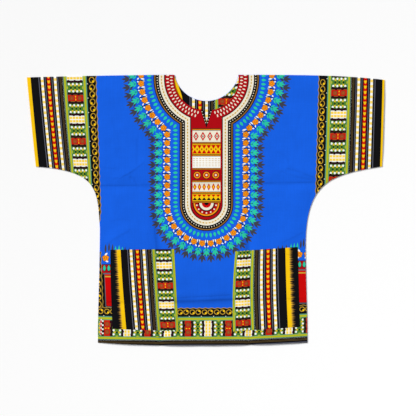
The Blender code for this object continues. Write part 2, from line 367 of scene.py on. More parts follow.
SIDES = (LEFT, RIGHT)
SEWN = [resample(run(side), 40.0) for side in SIDES for run in (side_seam, underarm, shoulder_line)]
FRONT_OUTLINE = panel_outline(front_neckline())
BACK_OUTLINE = panel_outline(neck_arc(NECK_HALF, BACK_NECK_DEPTH))
HEM_STITCH = resample(shifted(hem_line(), HEM_FOLD)[2:-2], 4.0)
CUFF_STITCHES = [shifted(resample(cuff_line(side), 4.0), side.sign * CUFF_FOLD)[1:-1] for side in SIDES]
HEM_STITCHES = [HEM_STITCH] + CUFF_STITCHES
NECK_TOPSTITCH = resample(front_neckline(NECK_STITCH), 2.0)
FRONT_STITCHES = [HEM_STITCH, NECK_TOPSTITCH] + CUFF_STITCHES


def beside_seams(x, y, reach):
    """0 on the sewn edges, up to 1 at a reach from them."""
    seam = np.full(x.shape, reach)
    for line in SEWN:
        seam = np.minimum(seam, near(x, y, line, reach))
    return smooth_step(seam / reach)


def loft(x, y):
    lows = np.zeros_like(x)
    highs = np.zeros_like(x)
    for fold in WIDE_FOLDS:
        ends = ((fold.x0, fold.y0), (fold.x1, fold.y1))
        share = near(x, y, ends, fold.half_width) / fold.half_width
        rise = fold.rise * (1 - share * share) ** 2
        lows = np.minimum(lows, rise)
        highs = np.maximum(highs, rise)
    return np.maximum(LOFT + lows + highs, LEAST_LOFT) * beside_seams(x, y, SEAM_EASE)


def over_facing(x, y):
    radius = arc_radius(FACING_HALF, FACING_DEPTH)
    past = np.hypot(x - NECK_X, y - (TOP_Y - FACING_DEPTH + radius)) - radius
    return 1 - smooth_step((past - FACING_MARGIN) / (FACING_FADE - FACING_MARGIN))


def creased(x, y):
    """Narrow pressed lines, steeper on their shaded flank, and deeper in some places than in others."""
    rise = np.zeros_like(x)
    for k, crease in enumerate(CREASES):
        reach = crease.width * CREASE_REACH
        distance, off_x, off_y = nearest(x, y, resample(crease.points, CREASE_STEP), reach)
        litward = (off_x * LIGHT_FROM[0] + off_y * LIGHT_FROM[1]) / np.maximum(distance, 1e-6)
        lean = CREASE_LEAN * np.tanh(4 * litward) * math.copysign(1, crease.depth)
        flank = crease.width * (CREASE_FLANK - lean)
        waves = np.sin((x + y) * 0.041 + 2.1 * k) * np.cos((x - y) * 0.017 + k)
        uneven = 1 - crease.unevenness * (0.5 + 0.5 * waves)
        fade = 1 - smooth_step((distance / reach - 0.5) / 0.5)
        rise -= crease.depth * uneven * np.exp(-distance / flank) * fade
    return rise


def painted_shade(x, y):
    """How many steps of painted shade are taken off the colour, along the pressed creases and in the shaded
    places.
    """
    found = np.zeros_like(x)
    # Painted shade along each crease, as the dark line of a fold
    for crease in CREASES:
        distance = near(x, y, resample(crease.points, CREASE_STEP), PAINTED_CREASE_SHADE_REACH)
        line = np.exp(-((distance / (0.95 * crease.width)) ** 2))
        found = np.maximum(found, min(1.0, abs(crease.depth)) * line)
    # Painted shade where the cloth leans away from the light
    for shade in SHADES:
        share = near(x, y, shade.points, shade.half_width) / shade.half_width
        found += shade.darkness * (1 - share * share) ** 2
    return found


def rippled(x, y):
    """Slow unevenness of cloth that lies by its own weight."""
    return (
        0.20 * np.sin(x * 0.047 + 0.9 * np.sin(y * 0.019))
        + 0.16 * np.sin(y * 0.058 + 1.2 * np.sin(x * 0.013) + 1.0)
        + 0.12 * np.sin((x + 0.7 * y) * 0.081 + 2.0)
        + 0.07 * np.sin((0.6 * x - y) * 0.133 + 0.5)
    )


def stitch_dent(x, y, line, depth):
    return depth * np.exp(-((near(x, y, line, PUCKER_REACH) / STITCH_SINK) ** 2))


def hemmed(x, y):
    """The doubled cloth of hem and cuffs, drawn in where it is stitched."""
    rise = HEM_RAISED * (1 - smooth_step((y - hem_height(x) - HEM_FOLD) / FOLD_STEP))
    pucker = np.sin((x * 0.9 + y * 0.8) * 0.62) * np.sin(x * 0.21 - y * 0.34)
    for line in FRONT_STITCHES:
        rise -= stitch_dent(x, y, line, FRONT_STITCH_DENT)
        rise += PUCKER * pucker * (1 - smooth_step(near(x, y, line, PUCKER_REACH) / PUCKER_REACH))
    return rise


def edge_roll(x, y, outline, depth):
    """The drop of a turned edge over its last stretch."""
    inward = near(x, y, closed(outline), EDGE_ROLL) / EDGE_ROLL
    return depth * (1 - np.sqrt(np.clip(1 - (1 - inward) ** 2, 0.0, 1.0)))


def front_under(x, y):
    return FRONT_UNDER + over_facing(x, y) * FACING_LIFT + loft(x, y)


def front_upper(x, y):
    relief = creased(x, y) + rippled(x, y) + hemmed(x, y)
    settled = 0.25 + 0.75 * beside_seams(x, y, SETTLED_REACH)
    return front_under(x, y) + FRONT_CLOTH + np.maximum(relief * settled, -DEEPEST_DENT)


def front_outer(x, y):
    return front_upper(x, y) - edge_roll(x, y, FRONT_OUTLINE, 0.55)


def front_inner(x, y):
    return np.minimum(front_under(x, y) + CLEARANCE, front_upper(x, y) - CLOTH)


def back_outer(x, y):
    return edge_roll(x, y, BACK_OUTLINE, 0.35)


def back_inner(x, y):
    return np.full(x.shape, BACK_WALL - CLEARANCE)


# Print

STRAIGHT_STEP = 9.0


class Pen:
    """Draws a print as shapes, each an ink and an outline. A later shape covers an earlier one.

    Its place turns (u, v), along and across a strip, into (x, y) on the cloth.
    """

    def __init__(self, place=lambda u, v: (u, v), shapes=None):
        self.place = place
        self.shapes = [] if shapes is None else shapes

    def over(self, place):
        """A pen for the same print in another place."""
        return Pen(place, self.shapes)

    def at(self, x, y, out):
        """A pen for the same print, with v outwards from a point and u along."""
        c, s = math.cos(out), math.sin(out)
        return self.over(lambda u, v: (x + v * c - u * s, y + v * s + u * c))

    def put(self, ink, points):
        self.shapes.append((ink, [self.place(u, v) for u, v in points]))

    def bar(self, ink, u0, u1, v0, v1):
        self.wavy_bar(ink, u0, u1, v0, v1, STRAIGHT_STEP * 8, 0.0)

    def wavy_bar(self, ink, u0, u1, v0, v1, pitch, swing):
        """A bar along the strip, whose long edges swing by eight steps to a wave."""
        count = max(1, math.ceil(abs(u1 - u0) / pitch * 8))
        us = [u0 + (u1 - u0) * k / count for k in range(count + 1)]
        waves = [swing * math.sin(math.tau * u / pitch) for u in us]
        low = [(u, v0 + w) for u, w in zip(us, waves)]
        high = [(u, v1 + w) for u, w in zip(us, waves)]
        self.put(ink, low + high[::-1])

    def spot(self, ink, u, v, ru, rv=None, sides=10):
        rv = ru if rv is None else rv
        angles = [math.tau * k / sides for k in range(sides)]
        self.put(ink, [(u + ru * math.cos(a), v + rv * math.sin(a)) for a in angles])

    def lozenge(self, ink, u, v, ru, rv):
        self.put(ink, [(u - ru, v), (u, v - rv), (u + ru, v), (u, v + rv)])

    def leaf(self, ink, base, tip, width):
        """A pointed leaf from its base to its tip."""
        du, dv = tip[0] - base[0], tip[1] - base[1]
        length = math.hypot(du, dv)
        left, right = [], []
        for t in (0.2, 0.4, 0.6, 0.8):
            half = width / 2 * math.sin(math.pi * t**0.8) / length
            u, v = base[0] + du * t, base[1] + dv * t
            left.append((u - dv * half, v + du * half))
            right.append((u + dv * half, v - du * half))
        self.put(ink, [base] + right + [tip] + left[::-1])


# The border, by distance in from the cloth's selvedge
BLACK_START = -32.0
SCROLL_START = 168.4
SCROLL_MIDDLE = 181.7
SCROLL_END = 193.0
SCROLL_WIDTH = 25.5
Stripe = namedtuple("Stripe", "start end ink")
STRIPES = (
    Stripe(BLACK_START, SCROLL_END, "black"),
    Stripe(-1.0, 11.8, "yellow"),
    Stripe(32.2, 34.2, "ash"),
    Stripe(39.0, 46.4, "white"),
    Stripe(50.0, 52.0, "ash"),
    Stripe(55.7, 65.6, "red"),
    Stripe(69.4, 71.4, "ash"),
    Stripe(75.6, 83.0, "white"),
    Stripe(85.8, 87.8, "ash"),
    Stripe(92.6, 93.5, "brown"),
    Stripe(95.6, 96.5, "brown"),
    Stripe(102.4, 111.4, "sea"),
    Stripe(103.8, 109.9, "olive"),
    Stripe(111.4, 157.6, "green"),
    Stripe(157.6, SCROLL_START, "sea"),
    Stripe(159.1, 165.4, "olive"),
)
Block = namedtuple("Block", "kind length")
BLOCKS = (
    Block("rope", 6.5),
    Block("dotted", 27.0),
    Block("rope", 6.0),
    Block("brick", 18.5),
    Block("rope", 6.5),
    Block("dotted", 26.0),
    Block("rope", 6.0),
    Block("barred", 21.5),
)
BLOCK_PERIOD = sum(b.length for b in BLOCKS)
BLOCK_LOW = 111.9
BLOCK_HIGH = 157.1
DOT_PITCH = 11.4
TICK_PITCH = 2.9
CURL_REACH = 0.224
CURL_OFFSET = 0.24
DROP_EDGES = (55.5, 65.8)
DROP_MIDDLE = 60.65
FRAYS = (("brown", 1.0, 2.8), ("bronze", 0.84, 2.6), ("gold", 0.62, 2.4), ("yellow", 0.32, 2.2))
FRAY_PITCH = 2.8

# How the border's repeats fall on one part of the shirt, along it
Strip = namedtuple("Strip", "first_block pip_pitch curl_pitch first_curl")


def repeats(u0, u1, pitch, start=0.0):
    first = math.ceil((u0 - start) / pitch)
    last = math.floor((u1 - start) / pitch)
    return [start + k * pitch for k in range(first, last + 1)]


def block(pen, kind, u0, u1):
    """One block of the border's ladder, or a rope between two blocks."""
    width = BLOCK_HIGH - BLOCK_LOW
    middle_u, middle_v = (u0 + u1) / 2, (BLOCK_LOW + BLOCK_HIGH) / 2
    fifths = [BLOCK_LOW + width * (k + 0.5) / 5 for k in range(5)]
    if kind == "rope":
        pen.bar("dark", middle_u - 2.6, middle_u + 2.6, BLOCK_LOW, BLOCK_HIGH)
        for k, v in enumerate(fifths):
            pen.spot("dark", middle_u + (1.5 if k % 2 else -1.5), v, 3.3, 4.4)
    elif kind == "dotted":
        for k in range(4):
            for u in (u0 + 3.6, u1 - 3.6):
                pen.spot("white", u, middle_v + DOT_PITCH * (k - 1.5), 3.2, sides=8)
        for k in (-2, -1, 0, 1, 2):
            pen.lozenge("olive", middle_u, middle_v + DOT_PITCH * 0.96 * k, 5.4, 2.0 if abs(k) == 2 else 4.6)
        for k in (-1, 0, 1):
            v = middle_v + DOT_PITCH * k
            for u in (u0 + 6.8, u1 - 6.8):
                pen.lozenge("straw", u, v, 4.2, 3.4)
            pen.lozenge("deep_green", middle_u, v, 4.8, 4.0)
    elif kind == "brick":
        pen.bar("brick", u0 + 0.3, u1 - 0.3, BLOCK_LOW, BLOCK_HIGH)
        for k in (-1, 1):
            for ink, radius, sides in (("brown", 5.6, 10), ("brick", 3.6, 10), ("green", 1.7, 6)):
                pen.spot(ink, middle_u, middle_v + k * width * 0.25, radius, sides=sides)
            pen.lozenge("yellow", middle_u + k * 4.4, middle_v, 2.4, 2.0)
        pen.lozenge("ember", middle_u, middle_v, 2.4, 3.2)
    else:
        pen.bar("white", u0, u1, BLOCK_LOW, BLOCK_HIGH)
        for u in (u0 + 6.2, u1 - 6.2):
            for v in fifths:
                pen.bar("cream", u - 3.9, u + 3.9, v - 4.2, v + 4.2)
                pen.bar("amber", u - 3.0, u + 3.0, v - 3.7, v + 3.7)


def curl(pen, u, reach, hand):
    """One open ring of a running scroll, with a bright drop at the end of its hook."""
    pen.spot("gold", u, SCROLL_MIDDLE, reach, 7.4, sides=18)
    pen.spot("black", u - 0.3, SCROLL_MIDDLE - 0.2 * hand, reach - 2.1, 5.3, sides=16)
    pen.spot("yellow", u + 0.42 * reach, SCROLL_MIDDLE + 3.1 * hand, 2.9, sides=9)


def scroll_band(pen, u0, u1, strip):
    """Curls in pairs on black, between the border's last olive stripe and the plain ground."""
    pitch = strip.curl_pitch
    pen.bar("black", u0, u1, SCROLL_START, 190.0)
    pen.wavy_bar("black", u0, u1, 188.0, 192.0, pitch / 2, 1.0)
    pen.wavy_bar("brass", u0, u1, 191.5, 193.9, pitch / 2, 1.0)
    reach = CURL_REACH * pitch
    for hand in (-1, 1):
        for u in repeats(u0 + reach, u1 - reach, pitch, strip.first_curl + CURL_OFFSET * hand * pitch):
            curl(pen, u, reach, hand)
    for u in repeats(u0, u1, pitch, strip.first_curl + pitch / 2):
        pen.spot("cream", u, SCROLL_START + 1.1, 1.4, sides=6)


def heart(pen, u, v):
    """A drop with a notched foot, on the red stripe."""
    side = ((-5.0, 3.4), (-2.0, 4.5), (2.6, 2.9))
    edge = (*side, (5.4, 0.0), *((du, -dv) for du, dv in reversed(side)), (-4.2, 0.0))
    for ink, long, wide in (("orange", 1.0, 1.0), ("yellow", 0.76, 0.72)):
        pen.put(ink, [(u + du * long, v + dv * wide) for du, dv in edge])


def flames(pen, u0, u1):
    """The yellow edge stripe, frayed outwards into the black in tongues of uneven length."""
    pen.bar("black", u0, u1, BLACK_START, 2.8)
    pen.bar("yellow", u0, u1, 5.0, 13.2)
    for ink, share, half in FRAYS:
        for k, u in enumerate(repeats(u0, u1, FRAY_PITCH)):
            reach = 9.6 + 2.4 * math.sin(2.4 * k) + 2.0 * math.sin(0.9 * k + 1.0) + 1.2 * math.sin(5.3 * k)
            tip = u + 1.2 * math.sin(3.1 * k)
            pen.put(ink, [(u - half, 5.4), (tip, 5.0 - reach * share), (u + half, 5.4)])


def ladder(pen, u0, u1, first_block):
    """Blocks of three kinds with dark ropes between them, and the ropes over the blocks."""
    for rope in (False, True):
        start = first_block + math.floor((u0 - first_block) / BLOCK_PERIOD) * BLOCK_PERIOD
        while start < u1:
            for b in BLOCKS:
                if start + b.length > u0 and start < u1 and (b.kind == "rope") == rope:
                    block(pen, b.kind, start, start + b.length)
                start += b.length


def border(pen, u0, u1, strip, frayed=False):
    """The shapes of the whole border between two places along it."""
    for stripe in STRIPES:
        pen.bar(stripe.ink, u0, u1, stripe.start, stripe.end)
    if frayed:
        flames(pen, u0, u1)
    for u in repeats(u0, u1, strip.pip_pitch, 5.0):
        pen.bar("honey", u - 3.6, u + 3.6, 39.2, 46.2)
        pen.bar("honey", u - 7.8, u - 0.6, 75.8, 82.8)
        for v in DROP_EDGES:
            pen.leaf("black", (u - 3.2, v), (u + 6.4, v), 3.4)
        heart(pen, u + 2.6, DROP_MIDDLE)
    for u in repeats(u0, u1, TICK_PITCH):
        pen.bar("white", u - 0.45, u + 0.45, 100.2, 101.0)
    ladder(pen, u0, u1, strip.first_block)
    scroll_band(pen, u0, u1, strip)
    return pen.shapes


# Places of the border on each part of the shirt
LEFT_SLEEVE = Strip(17.9, 14.5, 39.3, 46.8)
RIGHT_SLEEVE = Strip(3.0, 14.4, 38.9, 32.4)
HEM = Strip(0.0, 14.5, 35.6, 10.2)
FACING = Strip(28.0, 14.5, 39.3, 0.0)
LEFT_SLEEVE_STRETCH = 1.018
RIGHT_SLEEVE_STRETCH = 1.027
HEM_STRETCH = 0.955
POCKET_STRETCH = 0.924
HEM_START_X = -208.8
HEM_AT = 88.0
HEM_ACROSS = 0.99
HEM_DROP_SHARE = 0.4
HEM_RISE_FROM = 107.0
HEM_RISE_SPAN = 55.0
HEM_NIPS_X = (-129.0, 120.5)
HEM_NIP = 2.2
HEM_NIP_REACH = 11.0
HEM_RISE_X = (-300.0, -200.0, -60.0, 100.0, 172.0, 285.0)
HEM_RISE_LOW = (0.0, 1.0, 2.4, 2.6, 4.5, 8.4)
HEM_RISE_HIGH = (0.0, 0.5, 1.2, 1.4, 3.2, 7.0)
BORDER_START_Y = 380.0
BORDER_WIDTH = 196.4
SLEEVE_LENGTH = 260.0
LEFT_CUFF_SLOPE = 0.1010
LEFT_INNER_Y = (-62.0, -20.0, 0.0, 375.5)
LEFT_INNER_X = (-299.0, -293.6, -291.8, -304.8)
LEFT_EDGE_STRIPE = 12.0
LEFT_EXTRA_SCROLL = 2.2
RIGHT_CUFF_SLOPE = 0.0290
RIGHT_INNER_SLOPE = 0.0282
RIGHT_INNER_TOP = (312.3, 375.6)
RIGHT_EDGE = 6.0
POCKET_EDGE = 16.0
POCKET_BORDER = 182.0
POCKET_HOLD_SHARE = 0.3
POCKET_CLIMB_REACH = 110.0
LADDER_START = 100.0
SIDE_SCROLL_X = -286.0
SIDE_SCROLL_Y = -273.7
SIDE_SCROLL_LEAN = 0.0440
FACING_MIDDLE = 77.0
FACING_FAN = 0.32
FACING_FAN_Y = 314.0
FACING_FAN_REACH = 65.0


def left_sleeve_place(u, v):
    """The border beside the left cuff; below the armpit its inner edge runs out past the side seam."""
    y = BORDER_START_Y - u * LEFT_SLEEVE_STRETCH
    cuff = -LEFT.cuff_x + (TOP_Y - LEFT.cuff_top_drop - y) * LEFT_CUFF_SLOPE
    inner = float(np.interp(y, LEFT_INNER_Y, LEFT_INNER_X))
    down = min(1.0, (BORDER_START_Y - y) / SLEEVE_LENGTH)
    across = (v * (0.88 - 0.16 * down) if v < LEFT_EDGE_STRIPE else v) / BORDER_WIDTH
    across += 0.024 * math.sin(math.pi * min(1.0, max(0.0, across))) * down * down
    widened = LEFT_EXTRA_SCROLL * max(0.0, v - SCROLL_START) / SCROLL_WIDTH
    return (cuff + (inner - cuff) * across + widened, y)


def right_sleeve_place(u, v):
    y = BORDER_START_Y - u * RIGHT_SLEEVE_STRETCH
    cuff = RIGHT.cuff_x - (TOP_Y - RIGHT.cuff_top_drop - y) * RIGHT_CUFF_SLOPE
    inner = RIGHT_INNER_TOP[0] - (RIGHT_INNER_TOP[1] - y) * RIGHT_INNER_SLOPE
    return (cuff + (inner - cuff) * (v - RIGHT_EDGE) / (BORDER_WIDTH - RIGHT_EDGE), y)


def hem_place(u, v):
    """The border along the hem, nipped down a little where the upright creases cross it."""
    x = HEM_START_X + u * HEM_STRETCH
    nip = sum(HEM_NIP * math.exp(-abs(x - nip_x) / HEM_NIP_REACH) for nip_x in HEM_NIPS_X)
    low, high = (float(np.interp(x, HEM_RISE_X, rises)) for rises in (HEM_RISE_LOW, HEM_RISE_HIGH))
    rise = low + (high - low) * (v - HEM_RISE_FROM) / HEM_RISE_SPAN
    rise += HEM_DROP_SHARE * (float(hem_height(x)) - HEM_Y)
    return (x, HEM_Y + rise + (v - HEM_AT) * HEM_ACROSS - nip)


def left_side_place(u, v):
    """Beside the left side seam: u up from the hem, v rising to the scroll's wavy edge."""
    y = HEM_Y + u
    return (SIDE_SCROLL_X - (y - SIDE_SCROLL_Y) * SIDE_SCROLL_LEAN + v - SCROLL_END, y)


def pocket_corners(pocket):
    return (pocket.bottom_left, pocket.bottom_right, pocket.top_right, pocket.top_left)


def pocket_point(pocket, across, down):
    """A place on a pocket by its shares of the way across and down, with the bow of its left edge."""
    top = blend(pocket.top_left, pocket.top_right, across)
    bottom = blend(pocket.bottom_left, pocket.bottom_right, across)
    x, y = blend(top, bottom, down)
    return (x - pocket.left_bow * math.sin(math.pi * min(1.0, max(0.0, down))) * (1 - across), y)


def pocket_place(pocket):
    """The border on a pocket, a little wider beside its frayed edge than beside its blocks."""

    def place(u, v):
        share = (v + POCKET_EDGE) / POCKET_BORDER
        down = u * POCKET_STRETCH / POCKET_HEIGHT
        drift = pocket.drift_top + (pocket.drift_low - pocket.drift_top) * down
        across = share + drift * (1 - share**pocket.drift_power)
        across -= pocket.hold * max(0.0, 1 - share / POCKET_HOLD_SHARE)
        if v > LADDER_START:
            u -= pocket.climb * max(0.0, 1 - u / POCKET_CLIMB_REACH)
        if pocket.mirrored:
            across = 1 - across
        height = pocket_point(pocket, across, 0.0)[1] - pocket_point(pocket, across, 1.0)[1]
        return pocket_point(pocket, across, u * POCKET_STRETCH / height)

    return place


def facing_place(u, v):
    """The border on the neck facing, which fans out towards the shoulders."""
    y = BORDER_START_Y - u
    fan = FACING_FAN * max(0.0, y - FACING_FAN_Y) / FACING_FAN_REACH
    return ((v - FACING_MIDDLE) * (1 + fan), y)


# Neck print: a rounded panel that hangs from the bands round the neck, in a ring of flowers and sprigs
RING_RADIUS = arc_radius(NECK_HALF, FRONT_NECK_DEPTH)
RING_Y = TOP_Y - FRONT_NECK_DEPTH + RING_RADIUS
PANEL_HALF = 17.0
PANEL_END_Y = 17.0
RING_PITCH = 23.6
Band = namedtuple("Band", "reach ink")
BANDS = (
    Band(58.0, "black"),
    Band(55.5, "bronze"),
    Band(52.6, "black"),
    Band(42.5, "cream"),
    Band(28.5, "black"),
    Band(26.0, "maroon"),
)

# Rows down the panel between rules, from its top
ROWS_LEFT = NECK_X - 39.0
ROWS_WIDTH = 78.0
ROWS_TOP = 228.0
RULE = 6.0
TOOTH = 13.0
Row = namedtuple("Row", "kind ground height")
ROWS = (
    Row("eyes", "cream", 32.0),
    Row("teeth", "yellow", 28.0),
    Row("dashes", "white", 32.0),
    Row("rings", "maroon", 28.0),
    Row("gems", "cream", 26.0),
    Row("low teeth", "yellow", 20.0),
)
FAN = ((39, "black"), (36, "orange"), (32, "maroon"), (23, "black"), (20, "cream"), (13, "red"), (6, "black"))


def neck_and_panel(pen, band):
    """Everything within a band's reach of the neckline and of the panel's middle strip."""
    pen.spot(band.ink, NECK_X, RING_Y, RING_RADIUS + band.reach, sides=120)
    half = PANEL_HALF + band.reach
    low = half_circle(half, PANEL_END_Y, 40)
    pen.put(band.ink, low + [(NECK_X + half, RING_Y), (NECK_X - half, RING_Y)])


def half_circle(radius, y, steps):
    """The lower half of a circle round the middle line, from left to right."""
    angles = [math.pi + math.pi * k / steps for k in range(steps + 1)]
    return [(NECK_X + radius * math.cos(a), y + radius * math.sin(a)) for a in angles]


def ring(pen, distance, pitch, first):
    """Pens at equal steps round the panel, pointing outwards, mirrored about the middle."""
    half = PANEL_HALF + distance
    radius = RING_RADIUS + distance
    turn = math.asin(half / radius)
    bend = math.pi / 2 * half
    straight = RING_Y - radius * math.cos(turn) - PANEL_END_Y
    arc = radius * (math.radians(95) - turn)
    found = []
    s = first
    while s < bend + straight + arc:
        if s < bend:
            a = s / half - math.pi / 2
            x, y, out = half * math.cos(a), PANEL_END_Y + half * math.sin(a), a
        elif s < bend + straight:
            x, y, out = half, PANEL_END_Y + s - bend, 0.0
        else:
            a = turn + (s - bend - straight) / radius - math.pi / 2
            x, y, out = radius * math.cos(a), RING_Y + radius * math.sin(a), a
        found.append(pen.at(NECK_X + x, y, out))
        if x > 0.01:
            found.append(pen.at(NECK_X - x, y, math.pi - out))
        s += pitch
    return found


def flower(pen, size):
    for ink, grow in (("black", 1.2), ("orange", 0.0)):
        for k in range(5):
            a = math.tau * k / 5 + math.pi / 2
            u, v = size * 0.56 * math.cos(a), size * 0.56 * math.sin(a)
            pen.spot(ink, u, v, size * 0.42 + grow, sides=9)
    pen.spot("ember", 0, 0, size * 0.44, sides=9)
    pen.spot("yellow", 0, 0, size * 0.2, sides=6)


def sprig(pen, ink, size):
    """Five leaves on a dark stem."""
    pen.bar("black", -0.9 * size, 0.9 * size, -17 * size, 3 * size)
    pen.leaf(ink, (0, -2 * size), (0, 15 * size), 6.4 * size)
    for hand in (-size, size):
        pen.leaf(ink, (0, -6 * size), (9.6 * hand, 10.5 * size), 5.6 * size)
        pen.leaf(ink, (0, -12 * size), (11 * hand, -1.5 * size), 5.0 * size)


def neck_print(pen):
    """Rings of leaves, sprigs and flowers, then the bands round the neck and the panel's rows over them."""
    for here in ring(pen, 70.0, RING_PITCH / 2, 0.0):
        here.leaf("teal", (0, -7), (0, 7), 7.4)
    for here in ring(pen, 131.0, RING_PITCH, RING_PITCH / 2):
        sprig(here, "grey", 1.1)
    for here in ring(pen, 117.0, RING_PITCH, 0.0):
        sprig(here, "teal", 0.9)
    for here in ring(pen, 94.0, RING_PITCH, 0.0):
        here.bar("black", -1.0, 1.0, -11, 12)
        for hand in (-1, 1):
            here.leaf("white", (2.0 * hand, -11.5), (6.0 * hand, 2), 4.4)
            here.leaf("white", (2.0 * hand, 9.5), (7.6 * hand, 3.5), 3.6)
    for here in ring(pen, 92.5, RING_PITCH, RING_PITCH / 2):
        flower(here, 8.8)
    for band in BANDS:
        neck_and_panel(pen, band)
    for here in ring(pen, 47.4, 7.4, 0.0):
        here.lozenge("cream", 0, 0, 1.8, 1.8)
    for here in ring(pen, 35.5, 8.8, 0.0):
        here.lozenge("gold", 0, 0, 4.2, 2.1)
    neck_band(pen)
    panel_rows(pen)


def neck_band(pen):
    """Pips in two rows on the band next to the neckline, and the dark edge of the slit."""
    for distance, start in ((8.0, 14.0), (18.6, 16.6)):
        radius = RING_RADIUS + distance
        for hand in (-1, 1):
            for k in range(16):
                a = hand * math.radians(start + 5.2 * k) - math.pi / 2
                here = pen.at(NECK_X + radius * math.cos(a), RING_Y + radius * math.sin(a), a)
                here.spot("cream", 0, 0, 1.9, 4.3, sides=8)
    low = TOP_Y - FRONT_NECK_DEPTH
    pen.put("black", [(NECK_X - 17, low + 4), (NECK_X, low - 48), (NECK_X + 17, low + 4)])
    for hand in (-1, 1):
        for k in range(5):
            pen.spot("cream", NECK_X + hand * (12.4 - 2.5 * k), low - 3 - 7.6 * k, 1.4, sides=6)


def teeth(pen, ink, base, apex):
    """Six triangles side by side across the panel."""
    for k in range(6):
        x = ROWS_LEFT + TOOTH * k
        pen.put(ink, [(x, base), (x + TOOTH, base), (x + TOOTH / 2, apex)])


def row_pattern(pen, kind, y):
    """The motifs of one row of the panel, about its middle height."""

    def steps(count):
        return [ROWS_LEFT + ROWS_WIDTH * (k + 0.5) / count for k in range(count)]

    if kind == "eyes":
        for x in steps(4):
            for ink, wide, high in (("red", 7.6, 13.0), ("cream", 3.9, 6.8), ("black", 1.9, 3.4)):
                pen.lozenge(ink, x, y, wide, high)
    elif kind == "teeth":
        teeth(pen, "red", y - 12.0, y - 1.0)
        teeth(pen, "red", y + 12.0, y + 1.0)
        for k in range(7):
            pen.lozenge("maroon", ROWS_LEFT + TOOTH * k, y, 2.2, 3.8)
    elif kind == "dashes":
        for k in (2, 1, 0, -1, -2):
            for j in range(9):
                x = ROWS_LEFT + 4.3 + 8.65 * j
                pen.bar("gold", x - 2.9, x + 2.9, y + 5.2 * k - 0.7, y + 5.2 * k + 0.7)
    elif kind == "rings":
        for x in steps(3):
            for radius, ink in ((11.2, "black"), (9.4, "orange"), (6.2, "maroon"), (3.0, "cream")):
                pen.spot(ink, x, y, radius, sides=16)
    elif kind == "gems":
        for x in steps(6):
            pen.lozenge("red", x, y, 5.2, 10.6)
            pen.lozenge("yellow", x, y, 2.4, 5.2)
    else:
        teeth(pen, "black", y - 8.0, y)
        teeth(pen, "red", y + 8.0, y + 0.6)


def panel_rows(pen):
    """Rows of plain geometric bands down the panel, within its red edge, and a fan at its foot."""

    def across(ink, top, bottom):
        right = ROWS_LEFT + ROWS_WIDTH
        pen.put(ink, [(ROWS_LEFT, bottom), (right, bottom), (right, top), (ROWS_LEFT, top)])

    def rule(top):
        across("black", top, top - RULE)
        across("orange", top - RULE / 3, top - RULE * 2 / 3)

    top = ROWS_TOP
    for row in ROWS:
        rule(top)
        top -= RULE
        across(row.ground, top, top - row.height)
        row_pattern(pen, row.kind, top - row.height / 2)
        top -= row.height
    rule(top)
    top -= RULE
    for radius, ink in FAN:
        pen.put(ink, half_circle(radius, top, 24))
    for k in range(7):
        a = math.pi + math.pi * (k + 0.5) / 7
        pen.spot("cream", NECK_X + 27.5 * math.cos(a), top + 27.5 * math.sin(a), 2.4, sides=7)


def side_print(pen, side):
    """The end of another border beside the side seam, half under the pocket."""
    middle, rise, lean = (267.2, 0.0, 0.065) if side.sign < 0 else (271.5, 10.4, 0.0)

    def place(x, y):
        slant = lean * (y + 215.0) if y < -176.0 else 0.0
        return (side.sign * (middle + x + slant), y + rise)

    panel = pen.over(place)

    def upright(ink, low, high, inner, outer, bow=3.0):
        foot = [(inner, low + bow), (inner + 2, low), (outer - 2, low), (outer, low + bow)]
        panel.put(ink, foot + [(outer, high), (inner, high)])

    ground_x = sorted((side.sign * 240.0, side.sign * 320.0))
    pen.bar("black", *ground_x, -285.0 + rise, -172.0 + rise)
    if side.sign < 0:
        scroll_band(pen.over(left_side_place), 96.0, 262.0, LEFT_SLEEVE)
    upright("ash", -270.6, -170.0, -16.8, 15.8)
    upright("black", -268.4, -172.4, -14.6, 13.8)
    upright("red", -267.0, -178.0, -13.0, 12.4)
    upright("gold", -186.6, -183.0, -13.0, 12.4, 0.4)
    upright("ash", -178.6, -174.6, -17.0, 17.0, 1.4)
    upright("maroon", -174.8, -150.2, -20.0, 22.4, 1.0)
    upright("black", -152.0, -150.2, -20.0, 22.4, 0.4)
    for x in (-9.6, 3.0, 15.4):
        panel.leaf("black", (x, -171.8), (x, -150.6), 10.0)
        panel.leaf("teal", (x, -169.4), (x, -152.2), 7.8)
    for x in (-11.0, 11.8):
        flower(pen.over(lambda u, v, x=x: place(x + u, -133.0 + v)), 9.4)
        panel.leaf("white", (x - 5.4, -119.0), (x + 3.4, -126.0), 5.0)
        panel.leaf("white", (x - 8.0, -143.6), (x + 1.0, -141.4), 4.6)


# Tips of the upright leaves that show over the pockets' mouths
POCKET_LEAVES = (
    ("grey", (-279.7, -93.0), (-270.0, -90.0), (-260.2, -93.0)),
    ("teal", (-251.8, -99.0), (-242.0, -96.5), (-233.0, -101.0)),
    ("grey", (-225.3, -101.0), (-214.0, -103.0)),
    ("grey", (201.0, -97.0), (213.0, -96.0), (224.0, -95.0)),
    ("teal", (237.0, -93.0), (246.0, -90.5), (255.0, -89.0)),
    ("grey", (264.5, -81.0), (272.5, -77.0), (279.5, -83.0)),
)


def panel_border(pen):
    """The border as it runs along the hem and beside both cuffs."""
    border(pen.over(hem_place), -108.0, 530.0, HEM)
    border(pen.over(left_sleeve_place), -2.0, 434.0, LEFT_SLEEVE)
    border(pen.over(right_sleeve_place), -2.0, 400.0, RIGHT_SLEEVE)
    return pen.shapes


